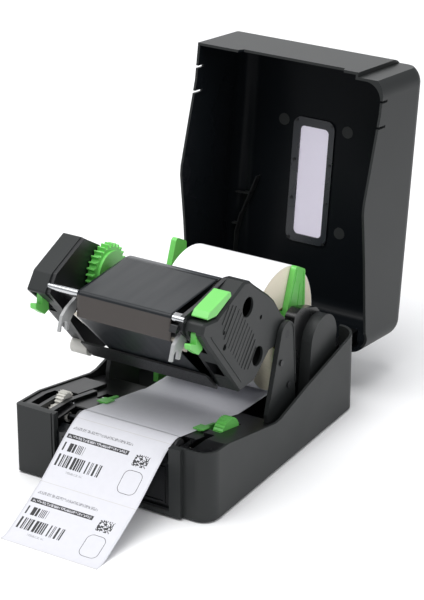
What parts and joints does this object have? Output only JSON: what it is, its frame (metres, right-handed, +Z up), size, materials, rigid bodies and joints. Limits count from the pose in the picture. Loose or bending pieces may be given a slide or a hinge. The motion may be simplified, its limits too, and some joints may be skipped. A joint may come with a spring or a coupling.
{
  "type": "thermal label printer",
  "caption": "Desktop thermal-transfer label printer standing open: hinged lid with window, lifting ribbon mechanism, label roll in its bay and a label strip leaving the front.",
  "frame": {"origin": "on the table plane under the feet, at the middle of the open printer's bounding box; the housing's front face is at Y = -0.15308 m", "axes": "+Z up, +X to the operator's right, -Y is the front where the labels leave"},
  "size_m": [0.204, 0.5182, 0.3243],
  "materials": {
    "housing_plastic": "satin charcoal moulded shell",
    "dark_plastic": "near-black moulded inner parts",
    "grey_plastic": "light grey moulded brackets",
    "green_plastic": "bright green touch points",
    "white_nylon": "white nylon gears and bearings",
    "feet_rubber": "soft black feet",
    "platen_rubber": "ground platen rubber",
    "steel": "ground steel rods and screws",
    "plate_steel": "black coated steel plates",
    "sink_aluminium": "drawn aluminium heat sink",
    "ceramic": "glazed ceramic print line",
    "board": "green solder mask board",
    "board_black": "black moulded components",
    "spindle_plastic": "dark moulded spindles",
    "core_card": "grey-brown card cores",
    "paper": "white label paper",
    "ribbon": "dark satin ink film",
    "window": "clear lid window"
  },
  "bodies": {
    "base": {"base_housing": "housing_plastic", "rubber_feet": "feet_rubber", "front_panel": "dark_plastic", "inner_deck": "dark_plastic", "deck_shoulders": "dark_plastic", "platen_bushings": "white_nylon", "gear_pins": "steel", "motor_bracket": "plate_steel", "stepper_motor": "plate_steel", "main_board": "board", "board_components": "board_black", "rear_sockets": "dark_plastic", "switch_bezel": "dark_plastic", "label_strip": "paper", "upright_stands": "grey_plastic", "stand_screws": "plate_steel", "bay_side_block": "dark_plastic", "hinge_brackets": "dark_plastic", "hinge_pins": "steel"},
    "lid": {"lid": "housing_plastic", "window_frame": "dark_plastic", "lid_window": "window", "window_screws": "plate_steel", "lid_hinge_arms": "dark_plastic"},
    "mechanism": {"right_side_plate": "plate_steel", "right_cover": "housing_plastic", "left_side_plate": "plate_steel", "left_gear_cover": "housing_plastic", "cross_frame": "plate_steel", "heat_sink": "sink_aluminium", "printhead": "ceramic", "mechanism_rods": "steel", "lower_bar": "plate_steel", "bar_end_cap": "white_nylon", "shaft_forks": "grey_plastic", "ribbon_film": "ribbon"},
    "platen": {"platen_roller": "platen_rubber", "platen_shaft": "steel", "platen_gear": "white_nylon"},
    "idler": {"idler_gear": "white_nylon"},
    "middle": {"middle_gear": "white_nylon"},
    "pinion": {"motor_pinion": "steel"},
    "rocker": {"power_rocker": "dark_plastic"},
    "reel": {"label_roll": "paper", "roll_core": "core_card"},
    "holder_right": {"roll_holder_right": "green_plastic"},
    "holder_left": {"roll_holder_left": "green_plastic"},
    "guide_right": {"label_guide_right": "green_plastic"},
    "guide_left": {"label_guide_left": "green_plastic"},
    "wheel": {"guide_screw": "steel", "guide_wheel": "green_plastic"},
    "hooks": {"latch_hooks": "green_plastic"},
    "button": {"release_button": "green_plastic"},
    "takeup": {"takeup_gear": "green_plastic", "takeup_spindle": "spindle_plastic", "takeup_core": "core_card", "takeup_roll": "ribbon"},
    "supply": {"supply_spindle": "spindle_plastic", "supply_core": "core_card", "supply_roll": "ribbon"}
  },
  "joints": [
    {"name": "lid_hinge", "type": "hinge", "parent": "base", "child": "lid", "pos_m": [0, 0.11922, 0.0558], "axis": [1, 0, 0], "range_deg": [0, 96.9]},
    {"name": "mech_lift", "type": "hinge", "parent": "base", "child": "mechanism", "pos_m": [0, 0.00992, 0.121], "axis": [1, 0, 0], "range_deg": [0, 37]},
    {"name": "platen_spin", "type": "hinge", "parent": "base", "child": "platen", "pos_m": [0, -0.12858, 0.058], "axis": [1, 0, 0], "continuous": true},
    {"name": "idler_spin", "type": "hinge", "parent": "base", "child": "idler", "pos_m": [0, -0.11376, 0.06253], "axis": [1, 0, 0], "continuous": true},
    {"name": "middle_spin", "type": "hinge", "parent": "base", "child": "middle", "pos_m": [0, -0.10001, 0.03872], "axis": [1, 0, 0], "continuous": true},
    {"name": "pinion_spin", "type": "hinge", "parent": "base", "child": "pinion", "pos_m": [0, -0.08279, 0.022], "axis": [1, 0, 0], "continuous": true},
    {"name": "reel_spin", "type": "hinge", "parent": "base", "child": "reel", "pos_m": [0, 0.05642, 0.1], "axis": [1, 0, 0], "continuous": true},
    {"name": "holder_right_slide", "type": "slide", "parent": "base", "child": "holder_right", "axis": [1, 0, 0], "range_m": [0, 0.006]},
    {"name": "holder_left_slide", "type": "slide", "parent": "base", "child": "holder_left", "axis": [-1, 0, 0], "range_m": [0, 0.006]},
    {"name": "wheel_turn", "type": "hinge", "parent": "base", "child": "wheel", "pos_m": [0, -0.07408, 0.051], "axis": [1, 0, 0], "range_deg": [0, 225]},
    {"name": "guide_right_slide", "type": "slide", "parent": "base", "child": "guide_right", "axis": [1, 0, 0], "range_m": [0, 0.005]},
    {"name": "guide_left_slide", "type": "slide", "parent": "base", "child": "guide_left", "axis": [-1, 0, 0], "range_m": [0, 0.005]},
    {"name": "power_rock", "type": "hinge", "parent": "base", "child": "rocker", "pos_m": [0, 0.12392, 0.01785], "axis": [1, 0, 0], "range_deg": [-7, 7]},
    {"name": "release_press", "type": "slide", "parent": "mechanism", "child": "button", "axis": [0, 0, -1], "range_m": [0, 0.002], "stiffness_N_per_m": 400, "springref_m": -0.0015},
    {"name": "hook_swing", "type": "hinge", "parent": "mechanism", "child": "hooks", "pos_m": [0, -0.12308, 0.171], "axis": [1, 0, 0], "range_deg": [0, 12.1]},
    {"name": "takeup_spin", "type": "hinge", "parent": "mechanism", "child": "takeup", "pos_m": [0, -0.05378, 0.172], "axis": [1, 0, 0], "continuous": true},
    {"name": "supply_spin", "type": "hinge", "parent": "mechanism", "child": "supply", "pos_m": [0, -0.03568, 0.1163], "axis": [1, 0, 0], "continuous": true}
  ],
  "couplings": [
    {"joint": "mech_lift", "follows": "lid_hinge", "ratio": 0.3818},
    {"joint": "idler_spin", "follows": "platen_spin", "ratio": -0.63158},
    {"joint": "middle_spin", "follows": "platen_spin", "ratio": 0.33333},
    {"joint": "pinion_spin", "follows": "platen_spin", "ratio": -1},
    {"joint": "reel_spin", "follows": "platen_spin", "ratio": -0.1405},
    {"joint": "holder_left_slide", "follows": "holder_right_slide", "ratio": 1},
    {"joint": "guide_right_slide", "follows": "wheel_turn", "m_per_rad": 0.001268},
    {"joint": "guide_left_slide", "follows": "wheel_turn", "m_per_rad": 0.001268},
    {"joint": "hook_swing", "follows": "release_press", "rad_per_m": 104.72},
    {"joint": "supply_spin", "follows": "takeup_spin", "ratio": 1.25}
  ]
}
